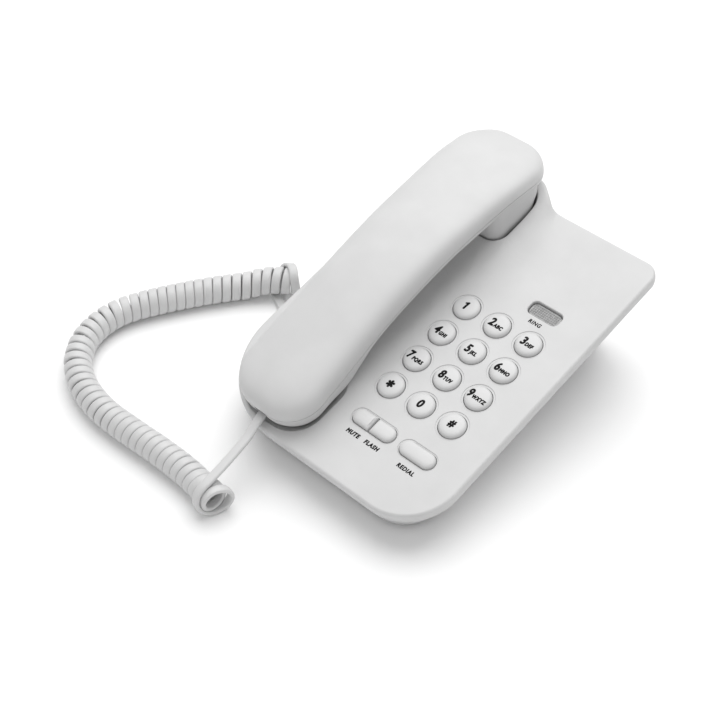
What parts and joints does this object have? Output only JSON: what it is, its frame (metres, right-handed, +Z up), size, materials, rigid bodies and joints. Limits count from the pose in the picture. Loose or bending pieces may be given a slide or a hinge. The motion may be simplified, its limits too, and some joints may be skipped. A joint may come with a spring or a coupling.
{
  "type": "corded telephone",
  "caption": "Corded desk telephone: a wedge-shaped base with a keypad, function buttons and a ring lamp, a handset resting in its cradle, and a curly handset cord.",
  "frame": {"origin": "centre of the base of the bounding box, on the surface that the phone stands on, the cord left out", "axes": "+Z up; the keypad faces -Y, towards the user; +X to the user's right"},
  "size_m": [0.2444, 0.2526, 0.0904],
  "materials": {
    "shell": "fine grain, pale grey ABS",
    "keys": "satin, pale grey",
    "lens": "ribbed translucent grey",
    "board": "green circuit board",
    "dark_plastic": "satin black",
    "rubber": "matte",
    "metal": "plain steel",
    "clear_plug": "clear",
    "cord": "satin pale grey"
  },
  "bodies": {
    "base": {"base_top_shell": "shell", "base_bottom_shell": "shell", "hook_bracket": "shell", "ring_lens": "lens", "ring_led": "lens", "keypad_membrane": "rubber", "main_board": "board", "ringer_sounder": "dark_plastic", "hook_lever_pin": "metal", "hook_spring": "metal", "hook_switch": "dark_plastic", "line_jack": "dark_plastic", "base_cord_jack": "dark_plastic", "base_plug": "clear_plug", "cord_base_tail": "cord", "cord_coil": "cord", "cord_handset_tail": "cord", "rubber_foot_1": "rubber", "base_screw_1": "metal", "rubber_foot_2": "rubber", "base_screw_2": "metal", "rubber_foot_3": "rubber", "base_screw_3": "metal", "rubber_foot_4": "rubber", "base_screw_4": "metal"},
    "handset": {"handset_top_shell": "shell", "handset_bottom_shell": "shell", "receiver": "metal", "microphone": "metal", "handset_weight": "metal", "handset_jack": "dark_plastic", "handset_plug": "clear_plug", "handset_screw_1": "metal", "handset_screw_2": "metal"},
    "hook_plunger": {"hook_plunger": "dark_plastic"},
    "hook_lever": {"hook_lever": "dark_plastic"},
    "ringer_switch": {"ringer_switch": "dark_plastic"},
    "key_1": {"key_1": "keys"},
    "key_2": {"key_2": "keys"},
    "key_3": {"key_3": "keys"},
    "key_4": {"key_4": "keys"},
    "key_5": {"key_5": "keys"},
    "key_6": {"key_6": "keys"},
    "key_7": {"key_7": "keys"},
    "key_8": {"key_8": "keys"},
    "key_9": {"key_9": "keys"},
    "key_star": {"key_star": "keys"},
    "key_0": {"key_0": "keys"},
    "key_hash": {"key_hash": "keys"},
    "mute_button": {"mute_button": "keys"},
    "flash_button": {"flash_button": "keys"},
    "redial_button": {"redial_button": "keys"}
  },
  "joints": [
    {"name": "handset_lift", "type": "slide", "parent": "base", "child": "handset", "axis": [0, -0.2079, 0.9781], "range_m": [0, 0.08]},
    {"name": "hook_plunger_slide", "type": "slide", "parent": "base", "child": "hook_plunger", "axis": [0, -0.2079, 0.9781], "range_m": [0, 0.004]},
    {"name": "hook_lever_pivot", "type": "hinge", "parent": "base", "child": "hook_lever", "pos_m": [-0.0312, 0.04243, 0.02927], "axis": [1, 0, 0], "range_deg": [0, 8.6], "deforming": ["hook_spring"]},
    {"name": "ringer_switch_slide", "type": "slide", "parent": "base", "child": "ringer_switch", "axis": [1, 0, 0], "range_m": [0, 0.005]},
    {"name": "key_1_press", "type": "slide", "parent": "base", "child": "key_1", "axis": [0, 0.2079, -0.9781], "range_m": [0, 0.0015], "stiffness_N_per_m": 500},
    {"name": "key_2_press", "type": "slide", "parent": "base", "child": "key_2", "axis": [0, 0.2079, -0.9781], "range_m": [0, 0.0015], "stiffness_N_per_m": 500},
    {"name": "key_3_press", "type": "slide", "parent": "base", "child": "key_3", "axis": [0, 0.2079, -0.9781], "range_m": [0, 0.0015], "stiffness_N_per_m": 500},
    {"name": "key_4_press", "type": "slide", "parent": "base", "child": "key_4", "axis": [0, 0.2079, -0.9781], "range_m": [0, 0.0015], "stiffness_N_per_m": 500},
    {"name": "key_5_press", "type": "slide", "parent": "base", "child": "key_5", "axis": [0, 0.2079, -0.9781], "range_m": [0, 0.0015], "stiffness_N_per_m": 500},
    {"name": "key_6_press", "type": "slide", "parent": "base", "child": "key_6", "axis": [0, 0.2079, -0.9781], "range_m": [0, 0.0015], "stiffness_N_per_m": 500},
    {"name": "key_7_press", "type": "slide", "parent": "base", "child": "key_7", "axis": [0, 0.2079, -0.9781], "range_m": [0, 0.0015], "stiffness_N_per_m": 500},
    {"name": "key_8_press", "type": "slide", "parent": "base", "child": "key_8", "axis": [0, 0.2079, -0.9781], "range_m": [0, 0.0015], "stiffness_N_per_m": 500},
    {"name": "key_9_press", "type": "slide", "parent": "base", "child": "key_9", "axis": [0, 0.2079, -0.9781], "range_m": [0, 0.0015], "stiffness_N_per_m": 500},
    {"name": "key_star_press", "type": "slide", "parent": "base", "child": "key_star", "axis": [0, 0.2079, -0.9781], "range_m": [0, 0.0015], "stiffness_N_per_m": 500},
    {"name": "key_0_press", "type": "slide", "parent": "base", "child": "key_0", "axis": [0, 0.2079, -0.9781], "range_m": [0, 0.0015], "stiffness_N_per_m": 500},
    {"name": "key_hash_press", "type": "slide", "parent": "base", "child": "key_hash", "axis": [0, 0.2079, -0.9781], "range_m": [0, 0.0015], "stiffness_N_per_m": 500},
    {"name": "mute_press", "type": "slide", "parent": "base", "child": "mute_button", "axis": [0, 0.2079, -0.9781], "range_m": [0, 0.0015], "stiffness_N_per_m": 500},
    {"name": "flash_press", "type": "slide", "parent": "base", "child": "flash_button", "axis": [0, 0.2079, -0.9781], "range_m": [0, 0.0015], "stiffness_N_per_m": 500},
    {"name": "redial_press", "type": "slide", "parent": "base", "child": "redial_button", "axis": [0, 0.2079, -0.9781], "range_m": [0, 0.0015], "stiffness_N_per_m": 500}
  ],
  "couplings": [
    {"joint": "hook_plunger_slide", "follows": "handset_lift", "ratio": 0.05},
    {"joint": "hook_lever_pivot", "follows": "handset_lift", "rad_per_m": 1.875}
  ]
}
